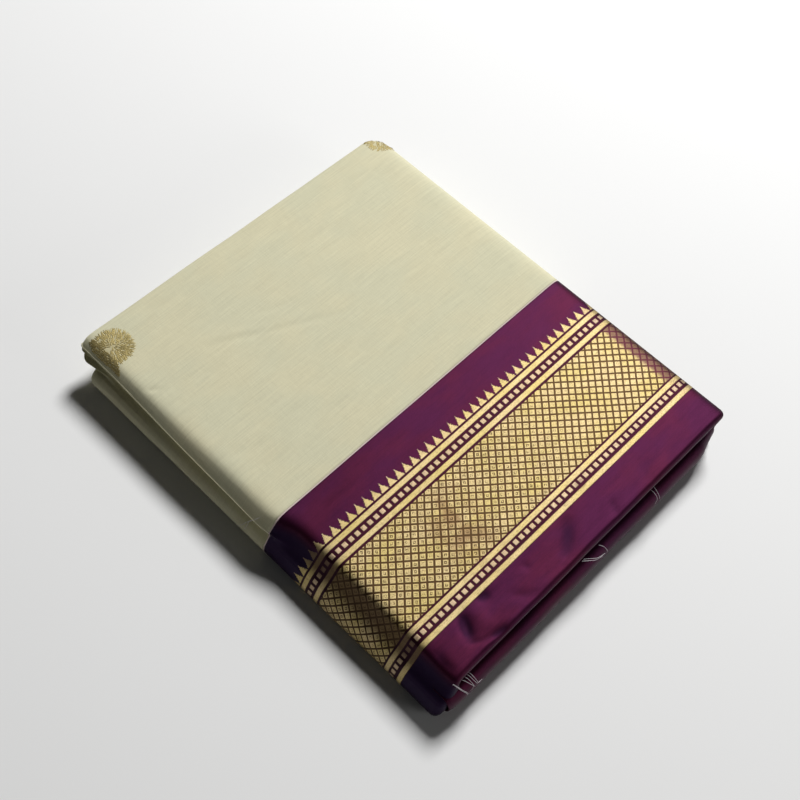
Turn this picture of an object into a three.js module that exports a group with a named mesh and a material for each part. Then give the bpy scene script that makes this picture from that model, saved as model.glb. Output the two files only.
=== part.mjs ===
// A saree folded flat for the shelf: one long woven cloth, folded across its
// width and along its length into a soft slab, with its woven border along one
// long edge of the slab. Millimetres, +Z up. The origin is under the middle of
// the slab. +X runs along the border, from the closed spine to the open side,
// and +Y runs from the border edge to the plain edge of the body.
import * as THREE from 'three';

// Driving sizes of the folded slab.
const height = 32;
const spineX = -118.8; // where the outer stretch goes down the closed side
const openX = 122.1; // outermost point of the open side
const borderY = -143.8; // folded edge with the border
const bodyY = 148.6; // folded edge of the plain body, at the spine end
const bodySkew = 0.0185; // the body edge runs in by this much for each mm of X
const seamY = borderY + 130; // where the body stops and the border starts

// Cloth.
const wallThickness = 1.2; // the few layers that turn together at the outside
const seamGap = 0.3; // between neighbouring pieces
const layerGap = 0.4; // between the outer stretch and the layers in it

// Folds of the outer stretch.
const openFoldRadius = 5;
const lowerSetBack = 1; // the lower fold at the open side stands in by this
const lowBendRadius = 6;
const bodyBendRadius = 5; // the soft body turns down the spine sharply
const borderBendRadius = 10; // the stiff border turns in a wider round
const bendChange = { from: seamY - 14, to: seamY + 12 };
const upperTuck = 40; // degrees that the open folds turn past upright
const lowerTuck = 20;
const spineSteps = 9;
const topFoldSteps = 5;
const lowFoldSteps = 4;

// The body sinks in between its upper fold and its lower roll. The dip is
// deepest at the body edge and dies out at the border.
const dip = { z: 20.5, halfHeight: 5.6, depthAtBody: 7.5, depthAtSeam: 2.6 };
const roll = { z: 9, halfHeight: 10.5, bulgeAtBody: 3.2, bulgeAtBorder: 2.2 };

// The lower layers stop short of the upper ones at the body edge.
const lowerBodyY = bodyY - 12.2;
const overhang = { top: 22, bottom: 14.5 };
const bodyCornerRadius = 12; // corners at the open side, seen from above
const borderCornerRadius = 1.6;
const flatX = [openX - bodyCornerRadius, 45, -45]; // places along the flat top and underside

// Rims: how far the outer stretch turns in at its two long edges, by place.
const rims = {
  top: { borderIn: 0, borderRadius: 3.5, bodyRadius: 3.2 },
  spine: { borderIn: -2.5, borderRadius: 5, bodyRadius: 3.4 },
  under: { borderIn: 1, borderRadius: 2.5, bodyRadius: 2.5 },
};
const rimSteps = [30, 60, 90]; // degrees round a rim

// Rows of points from the seam to each rim, as shares of the way.
const bodyShares = [0, 0.04, 0.12, 0.28, 0.5, 0.75, 0.93, 1];
const borderShares = [0, 0.05, 0.12, 0.3, 0.65, 1];

// The roll of border that pushes out under the upper layers.
const lowFold = {
  fromX: spineX + 6.6,
  toX: spineX + 227.5,
  z: 12.2,
  halfHeight: 8.8,
  endHeight: 0.55, // the roll keeps this share of its height where it dies out
  backY: borderY + 2.2,
  reach: 7,
  steps: 10,
};
const lowFoldSections = [
  { at: 0, share: 0.8 },
  { at: 0.012, share: 0.88 },
  { at: 0.04, share: 0.94 },
  { at: 0.12, share: 0.98 },
  { at: 0.35, share: 1 },
  { at: 0.6, share: 0.97 },
  { at: 0.85, share: 1 },
  { at: 0.955, share: 0.95 },
  { at: 0.982, share: 0.8 },
  { at: 0.995, share: 0.52 },
  { at: 1, share: 0.24 },
];

// The hidden layers, from the bottom up: each row is one bundle of layers, as
// thick as given, that stands in or out from its neighbours at each edge.
const bundles = [
  { thick: 3.0, open: 2.2, body: 1.6, border: 0.4 },
  { thick: 3.2, open: 0.9, body: 0.5, border: 0.2 },
  { thick: 2.8, open: 1.3, body: 1.9, border: 0.5 },
  { thick: 3.4, open: 0.2, body: 0.3, border: 0.1 },
  { thick: 3.0, open: 1.0, body: 1.2, border: 0.6 },
  { thick: 2.9, open: 0.5, body: 0.4, border: 0.3 },
  { thick: 2.3, open: 1.1, body: 1.5, border: 0.9 },
  { thick: 2.7, open: 0.3, body: 0.2, border: 0.4 },
  { thick: 2.6, open: 0.7, body: 1.1, border: 0.7 },
  { thick: 2.9, open: 0.8, body: 0.4, border: 0.3 },
];
const bundleDip = 1.1; // depth of the groove between two bundles
const bundleShoulders = [0.3, 0.7]; // where a bundle is widest, as shares of its thickness
const layersIn = { open: 2.3, body: 2.6, border: 2 };
const layersCornerRadius = { body: 12, border: 2.6 };
const cornerSteps = [0, 30, 60, 90]; // degrees round a corner
const layerShares = [0.04, 0.15, 0.3, 0.42, 0.5, 0.56, 0.62, 0.75, 0.9];
const spineWindow = 0.8; // the spine is kept clear this far above and below

const { degToRad, lerp, smoothstep } = THREE.MathUtils;

function bell(distance) {
  return Math.abs(distance) < 1 ? 0.5 + 0.5 * Math.cos(Math.PI * distance) : 0;
}

// 0 on the stiff border, 1 on the soft body.
function softness(y) {
  return smoothstep(y, bendChange.from, bendChange.to);
}

// How far the spine stands in (+) or out (-) at a height.
function spineOffset(z, y) {
  const alongBody = smoothstep(y, seamY, bodyY);
  const soft = softness(y);
  const dipDepth = soft * lerp(dip.depthAtSeam, dip.depthAtBody, alongBody);
  const bulge = lerp(roll.bulgeAtBorder, roll.bulgeAtBody, soft);
  const dipIn = dipDepth * bell((z - dip.z) / dip.halfHeight);
  return dipIn - bulge * bell((z - roll.z) / roll.halfHeight);
}

// Points on a round fold, each with the way inward.
function fold(cx, cz, radius, fromDegrees, toDegrees, steps) {
  return Array.from({ length: steps + 1 }, (_, i) => {
    const angle = degToRad(lerp(fromDegrees, toDegrees, i / steps));
    const x = cx + radius * Math.cos(angle);
    const z = cz + radius * Math.sin(angle);
    return { x, z, inward: [-Math.cos(angle), -Math.sin(angle)] };
  });
}

// One section of the outer stretch, from its upper fold at the open side, over
// the top, down the spine and back along the underside. Every section has the
// same number of points.
function section(y) {
  const bend = lerp(borderBendRadius, bodyBendRadius, softness(y));
  const upperFoldX = openX - openFoldRadius;
  const lowerFoldX = upperFoldX - lowerSetBack;
  const topBendX = spineX + bend;
  const lowBendX = spineX + lowBendRadius;
  const upperFoldZ = height - openFoldRadius;
  const upper = fold(upperFoldX, upperFoldZ, openFoldRadius, -upperTuck, 90, topFoldSteps);
  const lower = fold(lowerFoldX, openFoldRadius, openFoldRadius, 270, 360 + lowerTuck, lowFoldSteps);
  const topBend = fold(topBendX, height - bend, bend, 90, 180, topFoldSteps);
  const lowBend = fold(lowBendX, lowBendRadius, lowBendRadius, 180, 270, lowFoldSteps);
  const spine = [];
  for (let i = 1; i < spineSteps; i += 1) {
    const z = lerp(height - bend, lowBendRadius, i / spineSteps);
    spine.push({ x: spineX, z, inward: [1, 0] });
  }
  const side = [...topBend, ...spine, ...lowBend];
  for (const point of side) point.x += spineOffset(point.z, y) * point.inward[0];
  const top = flatX.map((x) => ({ x, z: height, inward: [0, -1] }));
  const under = flatX.toReversed().map((x) => ({ x, z: 0, inward: [0, 1] }));
  return { points: [...upper, ...top, ...side, ...under, ...lower], side };
}

function cornerInset(x, radius) {
  const past = THREE.MathUtils.clamp(x - (openX - radius), 0, radius);
  return radius - Math.sqrt(radius * radius - past * past);
}

// Where the cloth ends at the body edge, at a place on the slab.
function bodyEdge(x, z) {
  const reach = lerp(lowerBodyY, bodyY, smoothstep(z, overhang.bottom, overhang.top));
  return reach - bodySkew * (x - spineX) - cornerInset(x, bodyCornerRadius);
}

// A size of the rims at a point of a section: top, spine or underside, and in
// between round the bends.
function rimSize(point, name) {
  const flatPart = point.z > height / 2 ? rims.top : rims.under;
  return lerp(flatPart[name], rims.spine[name], Math.max(0, point.inward[0]));
}

// A point of the outer surface. share runs from 0 at the seam to 1 where the
// rim starts, and turn is how far round the rim the point lies, in radians.
function outerPoint(index, side, share, turn) {
  const outward = side === 'body' ? 1 : -1;
  const atEdge = section(side === 'body' ? bodyY : borderY).points[index];
  const radius = rimSize(atEdge, `${side}Radius`);
  const borderEdge = borderY + rimSize(atEdge, 'borderIn') + cornerInset(atEdge.x, borderCornerRadius);
  const edge = side === 'body' ? bodyEdge(atEdge.x, atEdge.z) : borderEdge;
  const y = lerp(seamY + (outward * seamGap) / 2, edge - outward * radius, share);
  const point = section(y).points[index];
  const depth = radius * (1 - Math.cos(turn));
  return new THREE.Vector3(
    point.x + point.inward[0] * depth,
    y + outward * radius * Math.sin(turn),
    point.z + point.inward[1] * depth,
  );
}

function outerGrid(side, shares) {
  const rows = shares.map((share) => ({ share, turn: 0 }));
  for (const step of rimSteps) rows.push({ share: 1, turn: degToRad(step) });
  const count = section(seamY).points.length;
  return Array.from({ length: count }, (_, index) => (
    rows.map((row) => outerPoint(index, side, row.share, row.turn))
  ));
}

// Moves a grid of points inward by the cloth's thickness.
function innerGrid(grid, thickness, outwardSign) {
  const last = grid.length - 1;
  const lastRow = grid[0].length - 1;
  return grid.map((line, i) => line.map((point, j) => {
    const along = grid[Math.min(i + 1, last)][j].clone().sub(grid[Math.max(i - 1, 0)][j]);
    const across = line[Math.min(j + 1, lastRow)].clone().sub(line[Math.max(j - 1, 0)]);
    const normal = along.cross(across).normalize().multiplyScalar(outwardSign);
    return point.clone().addScaledVector(normal, -thickness);
  }));
}

function addQuad(triangles, a, b, c, d) {
  triangles.push([a, b, c], [a, c, d]);
}

function solid(triangles) {
  const volume = triangles.reduce((sum, [a, b, c]) => sum + a.dot(b.clone().cross(c)) / 6, 0);
  const ordered = volume > 0 ? triangles : triangles.map(([a, b, c]) => [a, c, b]);
  const geometry = new THREE.BufferGeometry();
  geometry.setFromPoints(ordered.flat());
  geometry.computeVertexNormals();
  return geometry;
}

// A closed wall between an outer and an inner grid.
function wall(outer, inner) {
  const triangles = [];
  const last = outer.length - 1;
  const lastRow = outer[0].length - 1;
  for (let i = 0; i < last; i += 1) {
    for (let j = 0; j < lastRow; j += 1) {
      addQuad(triangles, outer[i][j], outer[i + 1][j], outer[i + 1][j + 1], outer[i][j + 1]);
      addQuad(triangles, inner[i][j], inner[i][j + 1], inner[i + 1][j + 1], inner[i + 1][j]);
    }
    addQuad(triangles, outer[i][0], inner[i][0], inner[i + 1][0], outer[i + 1][0]);
    const [near, far] = [i, i + 1].map((k) => [outer[k][lastRow], inner[k][lastRow]]);
    addQuad(triangles, near[0], far[0], far[1], near[1]);
  }
  for (let j = 0; j < lastRow; j += 1) {
    addQuad(triangles, outer[0][j], outer[0][j + 1], inner[0][j + 1], inner[0][j]);
    const [near, far] = [j, j + 1].map((k) => [outer[last][k], inner[last][k]]);
    addQuad(triangles, near[0], near[1], far[1], far[0]);
  }
  return solid(triangles);
}

function wrap(side, shares) {
  const outer = outerGrid(side, shares);
  return wall(outer, innerGrid(outer, wallThickness, side === 'body' ? -1 : 1));
}

// The roll of border: an open-backed shell with rounded ends.
function lowFoldShell() {
  const surface = (inset) => lowFoldSections.map(({ at, share }) => {
    const x = lerp(lowFold.fromX, lowFold.toX, at);
    const reach = lowFold.reach * share - inset;
    const halfHeight = lowFold.halfHeight * lerp(lowFold.endHeight, 1, share) - inset;
    return Array.from({ length: lowFold.steps + 1 }, (_, i) => {
      const angle = degToRad(lerp(-90, 90, i / lowFold.steps));
      const y = lowFold.backY - reach * Math.cos(angle);
      return new THREE.Vector3(x, y, lowFold.z + halfHeight * Math.sin(angle));
    });
  });
  return wall(surface(0), surface(wallThickness));
}

// How far in the hidden layers start behind the spine, at a height.
function spineLimit(z, y) {
  const side = section(y).side;
  const clearance = wallThickness + layerGap;
  const line = side.map((point, i) => {
    const before = side[Math.max(i - 1, 0)];
    const after = side[Math.min(i + 1, side.length - 1)];
    const normal = new THREE.Vector2(after.z - before.z, before.x - after.x).normalize();
    return { x: point.x - normal.x * clearance, z: point.z - normal.y * clearance };
  });
  let limit = spineX;
  for (let i = 0; i + 1 < line.length; i += 1) {
    const [high, low] = [line[i], line[i + 1]];
    if (high.z < z - spineWindow || low.z > z + spineWindow) continue;
    limit = Math.max(limit, high.x, low.x);
  }
  return limit;
}

function layersOutline(z, bundle, groove) {
  const low = borderY + layersIn.border + bundle.border + groove;
  const open = openX - layersIn.open - bundle.open - groove;
  const inBody = layersIn.body + bundle.body + groove;
  const high = (x) => bodyEdge(x, z) - inBody;
  const rBody = layersCornerRadius.body;
  const rBorder = layersCornerRadius.border;
  const outline = [];
  const corner = (cx, cy, r, fromDegrees) => {
    for (const step of cornerSteps) {
      const angle = degToRad(fromDegrees + step);
      outline.push([cx + r * Math.cos(angle), cy + r * Math.sin(angle)]);
    }
  };
  corner(spineLimit(z, low) + rBorder, low + rBorder, rBorder, 180);
  corner(open - rBorder, low + rBorder, rBorder, 270);
  corner(open - rBody, high(openX - bodyCornerRadius) - rBody, rBody, 0);
  const highSpineX = spineLimit(z, high(spineX));
  corner(highSpineX + rBody, high(highSpineX) - rBody, rBody, 90);
  for (const share of layerShares) {
    const y = lerp(high(highSpineX) - rBody, low + rBorder, share);
    outline.push([spineLimit(z, y), y]);
  }
  return outline.map(([x, y]) => new THREE.Vector3(x, y, z));
}

// The hidden layers: one solid with a groove between each two bundles.
function hiddenLayers() {
  const room = height - 2 * (wallThickness + layerGap);
  const total = bundles.reduce((sum, bundle) => sum + bundle.thick, 0);
  const levels = [];
  let z = wallThickness + layerGap;
  for (const bundle of bundles) {
    const thick = (bundle.thick * room) / total;
    levels.push(layersOutline(z, bundle, bundleDip));
    for (const share of bundleShoulders) levels.push(layersOutline(z + thick * share, bundle, 0));
    z += thick;
  }
  levels.push(layersOutline(z, bundles.at(-1), bundleDip));
  const triangles = [];
  for (let k = 0; k + 1 < levels.length; k += 1) {
    levels[k].forEach((point, i) => {
      const next = (i + 1) % levels[k].length;
      addQuad(triangles, point, levels[k][next], levels[k + 1][next], levels[k + 1][i]);
    });
  }
  for (const [level, side] of [[levels[0], -1], [levels.at(-1), 1]]) {
    const centre = new THREE.Vector3(0, 0, level[0].z);
    level.forEach((point, i) => {
      const next = level[(i + 1) % level.length];
      triangles.push(side > 0 ? [centre, point, next] : [centre, next, point]);
    });
  }
  return solid(triangles);
}

function piece(name, geometry, color, roughness, metalness) {
  const material = new THREE.MeshStandardMaterial({ color, roughness, metalness });
  const mesh = new THREE.Mesh(geometry, material);
  mesh.name = name;
  return mesh;
}

const saree = new THREE.Group();
saree.name = 'saree';
saree.add(piece('body_wrap', wrap('body', bodyShares), '#cfcab0', 0.9, 0));
saree.add(piece('border_wrap', wrap('border', borderShares), '#55204a', 0.55, 0.2));
saree.add(piece('border_low_fold', lowFoldShell(), '#4a1c42', 0.6, 0));
saree.add(piece('hidden_layers', hiddenLayers(), '#8d876c', 0.95, 0));

export default saree;
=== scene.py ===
# A saree folded flat: one long cream cotton cloth with a wide purple border, woven with gold.
from functools import partial, reduce
import math

import bmesh
import bpy
import numpy as np
from mathutils import Euler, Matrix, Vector, noise


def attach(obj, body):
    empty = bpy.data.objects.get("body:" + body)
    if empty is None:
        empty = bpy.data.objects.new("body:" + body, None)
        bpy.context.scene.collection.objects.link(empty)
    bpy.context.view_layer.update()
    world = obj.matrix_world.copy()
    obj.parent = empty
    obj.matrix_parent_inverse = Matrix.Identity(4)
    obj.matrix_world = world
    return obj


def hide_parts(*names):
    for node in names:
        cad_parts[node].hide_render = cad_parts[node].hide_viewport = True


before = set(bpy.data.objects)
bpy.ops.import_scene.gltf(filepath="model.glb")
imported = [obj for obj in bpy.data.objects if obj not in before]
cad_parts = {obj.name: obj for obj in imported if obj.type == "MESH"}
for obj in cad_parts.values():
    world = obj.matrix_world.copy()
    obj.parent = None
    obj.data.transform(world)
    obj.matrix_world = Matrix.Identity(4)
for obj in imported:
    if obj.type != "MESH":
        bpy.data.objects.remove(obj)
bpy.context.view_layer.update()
mm = 0.001

# ---- camera ----

cameraView = {
    "place": (-0.28507, -0.23277, 0.64178),
    "turn": (30.095, -3.129, -45.399),  # degrees
    "lens": 55.69,  # mm, for a sensor 36 mm wide
}


def addCamera(view):
    data = bpy.data.cameras.new("camera")
    data.sensor_width = 36
    data.lens = view["lens"]
    camera = bpy.data.objects.new("camera", data)
    camera.location = view["place"]
    camera.rotation_euler = Euler([math.radians(a) for a in view["turn"]])
    bpy.context.scene.collection.objects.link(camera)
    bpy.context.scene.camera = camera


addCamera(cameraView)
print("camera placed")

# ---- the shape of the folded slab, in millimetres ----

slab = {
    "height": 32.0,
    "spineX": -118.8,
    "openX": 122.1,
    "borderY": -143.8,
    "seamY": -13.8,
    "farY": 116.0,
    "bodyY": 148.6,
    "lowerBodyY": 136.4,  # the lower layers stop short of the upper ones
    "overhang": (14.5, 22.0),  # heights between which they reach out
    "bodySkew": 0.0185,
    "bodyCorner": 12.0,
    "borderCorner": 1.6,
    "softZone": (-31.0, -5.0),  # where the stiff border gives way to the soft body
    "topFlat": (24.0, 222.0),  # distances from the spine
    "underFlat": (11.0, 222.0),
}

# Each row: distance from the spine, height, the way inward in degrees (0 is +X, 90 is up).
upperFold = [
    (214, 22.6, 90), (225, 22.2, 90), (233, 22.3, 98), (238.4, 23.5, 122), (241.3, 25.6, 158),
    (241.6, 27.8, 188), (239.9, 29.8, 218), (236.4, 31.2, 242), (230.0, 31.9, 260), (222, 32, 270),
]
lowerFold = [
    (222, 0, 450), (230, 0.15, 455), (235.6, 1.1, 480), (238.8, 3.0, 512), (239.6, 5.2, 540),
    (238.5, 7.7, 570), (235, 9.3, 605), (226, 9.8, 625), (214, 9.6, 630),
]
spineAtBorder = [
    (24, 32.0, 270), (17.0, 31.9, 273), (13.2, 30.8, 288), (10.8, 27.8, 306), (8.4, 24.4, 318),
    (5.9, 21.2, 328), (4.5, 19.6, 334), (3.3, 18.3, 340), (2.4, 17.2, 345), (1.7, 16.1, 349),
    (1.0, 15.0, 352), (0.5, 13.9, 354), (0.0, 12.8, 356), (-0.5, 11.6, 359), (-1.1, 10.2, 362),
    (-1.7, 8.6, 366), (-2.0, 6.2, 375), (-1.2, 3.3, 394), (1.5, 0.7, 427), (11, 0, 450),
]
spineAtSeam = [
    (24, 32, 270), (13.0, 31.9, 274), (8.0, 30.4, 290), (4.4, 27.2, 311), (1.5, 23.6, 326),
    (0.8, 23.1, 332), (1.7, 22.0, 343), (2.3, 21.2, 347), (2.4, 20.4, 350), (2.0, 19.6, 352),
    (1.5, 18.7, 354), (0.9, 17.8, 356), (0.3, 16.8, 357), (-0.4, 15.4, 359), (-1.3, 13.6, 361),
    (-2.2, 11.2, 363), (-2.5, 7.6, 372), (-1.5, 3.4, 394), (1.4, 0.7, 427), (11, 0, 450),
]
spineAtFarSide = [
    (24, 32, 270), (12.6, 32.0, 274), (8.0, 31.2, 288), (5.3, 29.4, 306), (3.1, 27.2, 322),
    (2.5, 26.8, 332), (4.6, 25.9, 345), (6.6, 24.8, 350), (7.4, 23.4, 352), (7.4, 21.8, 355),
    (6.8, 20.2, 356), (5.6, 18.8, 357), (4.0, 17.6, 358), (2.2, 16.5, 359), (0.0, 15.2, 360),
    (-2.6, 12.2, 364), (-3.2, 7.4, 372), (-2.0, 3.6, 392), (1.2, 0.8, 425), (11, 0, 450),
]
spineAtBodyEdge = [
    (24, 32, 270), (12.6, 32.0, 274), (8.0, 31.2, 288), (5.2, 29.5, 306), (3.1, 27.4, 322),
    (2.5, 27.0, 332), (4.4, 26.2, 345), (6.8, 25.4, 350), (4.0, 24.4, 352), (2.0, 23.2, 355),
    (5.6, 21.9, 356), (2.2, 20.5, 357), (-0.4, 18.7, 358), (4.8, 16.7, 360), (-0.4, 14.6, 361),
    (-3.1, 11.4, 364), (-3.2, 7.4, 372), (-2.0, 3.6, 392), (1.2, 0.8, 425), (11, 0, 450),
]

# Rims: how the cloth turns in at its long edges, by the way inward.
rims = {
    "facing": (90, 180, 225, 270, 315, 360, 450, 540, 630),
    "border": {
        "out": (-0.5, -0.3, 0, 0, 1.2, 2.5, -1.0, -0.5, -0.5),
        "radius": (2.0, 2.2, 2.8, 3.2, 4.6, 5.0, 2.5, 2.2, 2.0),
        "turn": (70, 90, 100, 104, 98, 90, 90, 90, 70),
        "tail": (0.6, 0.8, 1.0, 1.2, 1.4, 1.8, 1.0, 1.0, 0.6),
    },
    "body": {
        "out": (0, 0, 0, 0, 0, 0, 0, 0, 0),
        "radius": (2.0, 2.4, 2.8, 3.0, 3.2, 3.4, 2.5, 2.2, 2.0),
        "turn": (80, 100, 130, 150, 130, 110, 120, 100, 80),
        "tail": (0.8, 1.0, 2.0, 3.0, 2.4, 2.0, 2.0, 1.0, 0.8),
    },
}


def smoothStep(value, low, high):
    t = np.clip((np.asarray(value, float) - low) / (high - low), 0, 1)
    return t * t * (3 - 2 * t)


def throughPoints(rows, perSpan):
    # a smooth line through the rows of a table
    points = np.array(rows, float)
    padded = np.vstack([2 * points[0] - points[1], points, 2 * points[-1] - points[-2]])
    out = []
    for i in range(len(points) - 1):
        a, b, c, d = padded[i:i + 4]
        for k in range(perSpan):
            t = k / perSpan
            out.append(0.5 * (2 * b + (c - a) * t + (2 * a - 5 * b + 4 * c - d) * t**2
                              + (3 * b - a - 3 * c + d) * t**3))
    out.append(points[-1])
    return np.array(out)


def straight(fromPlace, toPlace, z, facing, count):
    places = np.linspace(fromPlace, toPlace, count + 2)[1:-1]
    return np.column_stack([places, np.full(count, z), np.full(count, facing)])


def wholeSection(spineRows, detail):
    near, far = slab["topFlat"]
    return np.vstack([
        throughPoints(upperFold, detail["fold"]),
        straight(far, near, slab["height"], 270, detail["top"]),
        throughPoints(spineRows, detail["spine"]),
        straight(slab["underFlat"][0], slab["underFlat"][1], 0, 450, detail["under"]),
        throughPoints(lowerFold, detail["fold"]),
    ])


def sectionsFor(detail):
    spines = (spineAtBorder, spineAtSeam, spineAtFarSide, spineAtBodyEdge)
    return [wholeSection(rows, detail) for rows in spines]


def sectionAt(stations, y):
    # y holds one place for each point of the section
    atBorder, atSeam, atFarSide, atBodyEdge = stations
    along = np.clip((y - slab["seamY"]) / (slab["farY"] - slab["seamY"]), 0, 1)[..., None]
    last = smoothStep(y, slab["farY"], slab["bodyY"])[..., None]
    soft = smoothStep(y, *slab["softZone"])[..., None]
    body = atSeam + (atFarSide - atSeam) * along
    body = body + (atBodyEdge - body) * last
    return atBorder + (body - atBorder) * soft


def cornerInset(x, radius):
    past = np.clip(x - (slab["openX"] - radius), 0, radius)
    return radius - np.sqrt(radius * radius - past * past)


def bodyEdge(x, z):
    reach = slab["lowerBodyY"] + (slab["bodyY"] - slab["lowerBodyY"]) * smoothStep(z, *slab["overhang"])
    return reach - slab["bodySkew"] * (x - slab["spineX"]) - cornerInset(x, slab["bodyCorner"])


def softNoise(x, y, z=0.0):
    return noise.noise(Vector((x, y, z)))


softNoises = np.vectorize(softNoise, otypes=[float])

# ---- creases ----

# path: places from the spine and from the border's edge; depth below 0 is a ridge
creases = [
    {"path": [(32, 227), (41, 225), (50, 223)], "width": 1.7, "depth": 0.3},
    {"path": [(54, 238), (67, 231.7), (83, 223.3), (98, 216), (120, 204.7), (132, 199.7)],
     "width": 2.2, "depth": 0.42},
    {"path": [(56, 241), (70, 235), (86, 227)], "width": 2.4, "depth": -0.28},
    {"path": [(9, 239.4), (12.4, 237.2), (16.4, 234.6)], "width": 1.3, "depth": 0.6},
    {"path": [(86, 237), (103, 230), (118, 226)], "width": 2.0, "depth": 0.28},
    {"path": [(146, 250), (168, 252), (190, 254)], "width": 2.0, "depth": 0.3},
    {"path": [(120, 262), (150, 264), (176, 268)], "width": 2.6, "depth": -0.25},
    {"path": [(14, 196), (30, 193), (52, 194)], "width": 2.2, "depth": 0.26},
    {"path": [(12, 176), (26, 172), (38, 171)], "width": 1.8, "depth": 0.3},
    {"path": [(70, 180), (108, 176), (140, 177)], "width": 3.0, "depth": 0.16},
    {"path": [(160, 214), (196, 208), (232, 207)], "width": 2.4, "depth": 0.18},
    {"path": [(178, 160), (204, 157), (228, 158)], "width": 2.2, "depth": -0.16},
    {"path": [(51, 23.0), (56.5, 21.8), (61, 21.2)], "width": 2.8, "depth": 0.8},
    {"path": [(41.5, 24.4), (37.3, 17.0), (33.6, 9.8)], "width": 3.4, "depth": 1.1},
    {"path": [(49, 20), (46.5, 13), (44, 8)], "width": 4.0, "depth": -0.3},
    {"path": [(42, 4.4), (47.5, 3.1), (55, 2.2)], "width": 2.4, "depth": 0.8},
    {"path": [(31, 11.6), (38.1, 5.7), (46, 3.6)], "width": 1.4, "depth": 0.35},
    {"path": [(125, 22.5), (113.7, 12.7), (101.6, 4.6)], "width": 4.4, "depth": 0.7},
    {"path": [(83, 18.4), (87, 16.4)], "width": 2.4, "depth": 0.35},
    {"path": [(66, 13), (74, 6), (80, 3)], "width": 2.8, "depth": 0.3},
    {"path": [(149, 12), (145, 5), (143, 1)], "width": 2.4, "depth": 0.4},
    {"path": [(184, 15), (176, 7), (171, 2)], "width": 3.2, "depth": 0.3},
    {"path": [(18, 20), (15, 12), (16, 4)], "width": 3.4, "depth": 0.5},
    {"path": [(20, 125), (34, 120), (50, 119)], "width": 2.6, "depth": 0.25},
    {"path": [(64, 112), (84, 111), (104, 113)], "width": 2.4, "depth": 0.16},
]


def creaseHeight(u, v):
    height = np.zeros_like(u)
    for crease in creases:
        path = np.array(crease["path"], float)
        lengths = np.hypot(*np.diff(path, axis=0).T)
        total, done = lengths.sum(), 0.0
        best = np.full_like(u, 1e9)
        share = np.zeros_like(u)
        for (ax, ay), (bx, by), length in zip(path[:-1], path[1:], lengths):
            t = np.clip(((u - ax) * (bx - ax) + (v - ay) * (by - ay)) / length**2, 0, 1)
            away = np.hypot(u - ax - t * (bx - ax), v - ay - t * (by - ay))
            closer = away < best
            best = np.where(closer, away, best)
            share = np.where(closer, (done + t * length) / total, share)
            done += length
        taper = np.sin(np.pi * np.clip(share, 0.04, 0.96)) ** 0.6
        height -= crease["depth"] * taper * np.exp(-((best / crease["width"]) ** 2))
    return height


def swell(u, v):
    # the top isn't quite level: the layers under it lie unevenly
    return 0.28 * softNoises(u / 62, v / 48, 3.1) + 0.1 * softNoises(u / 21, v / 17, 8.4)


# ---- building meshes ----


def meshFromGrid(name, points, uv, closed=False):
    rows, columns = points.shape[:2]
    index = np.arange(rows * columns).reshape(rows, columns)
    if closed:
        index = np.hstack([index, index[:, :1]])
    quads = np.stack([index[:-1, :-1], index[1:, :-1], index[1:, 1:], index[:-1, 1:]], -1).reshape(-1, 4)
    mesh = bpy.data.meshes.new(name)
    mesh.from_pydata((points.reshape(-1, 3) * mm).tolist(), [], quads.tolist())
    layer = mesh.uv_layers.new(name="cloth")
    flatUv = uv.reshape(-1, 2)
    loops = np.empty(len(mesh.loops), dtype=np.int32)
    mesh.loops.foreach_get("vertex_index", loops)
    layer.data.foreach_set("uv", (flatUv[loops] * mm).astype(np.float32).ravel())
    mesh.shade_smooth()
    return mesh


def addObject(name, mesh):
    thing = bpy.data.objects.new(name, mesh)
    bpy.context.scene.collection.objects.link(thing)
    return thing


def addFloatAttribute(mesh, name, values):
    attribute = mesh.attributes.new(name, "FLOAT", "POINT")
    attribute.data.foreach_set("value", np.asarray(values, np.float32).ravel())


def thicken(thing, thickness):
    wall = thing.modifiers.new("clothThickness", "SOLIDIFY")
    wall.thickness = thickness * mm
    wall.offset = -1
    wall.use_even_offset = False
    wall.use_rim = True


# ---- the outer stretch of cloth ----

wrapDetail = {"fold": 5, "top": 136, "spine": 6, "under": 18}
wrapSides = {
    "body": {"rows": 104, "outward": 1, "thickness": 0.55},
    "border": {"rows": 88, "outward": -1, "thickness": 0.55},
}
rimSteps = np.linspace(0, 1, 10)[1:]
tailSteps = np.array([0.35, 0.7, 1.0])


def lipIndex():
    # the sharpest point of the body's upper fold along the spine
    return (len(upperFold) - 1) * wrapDetail["fold"] + 1 + wrapDetail["top"] + 5 * wrapDetail["spine"]


def edgeLine(side, atEdge, rim):
    x = atEdge[:, 0] + slab["spineX"]
    if side == "body":
        edge = bodyEdge(x, atEdge[:, 1])
    else:
        edge = slab["borderY"] - rim["out"] + cornerInset(x, slab["borderCorner"])
    uneven = 0.35 * softNoises(atEdge[:, 0] / 34, atEdge[:, 1] / 20, 5.5)
    return edge + wrapSides[side]["outward"] * uneven


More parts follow.
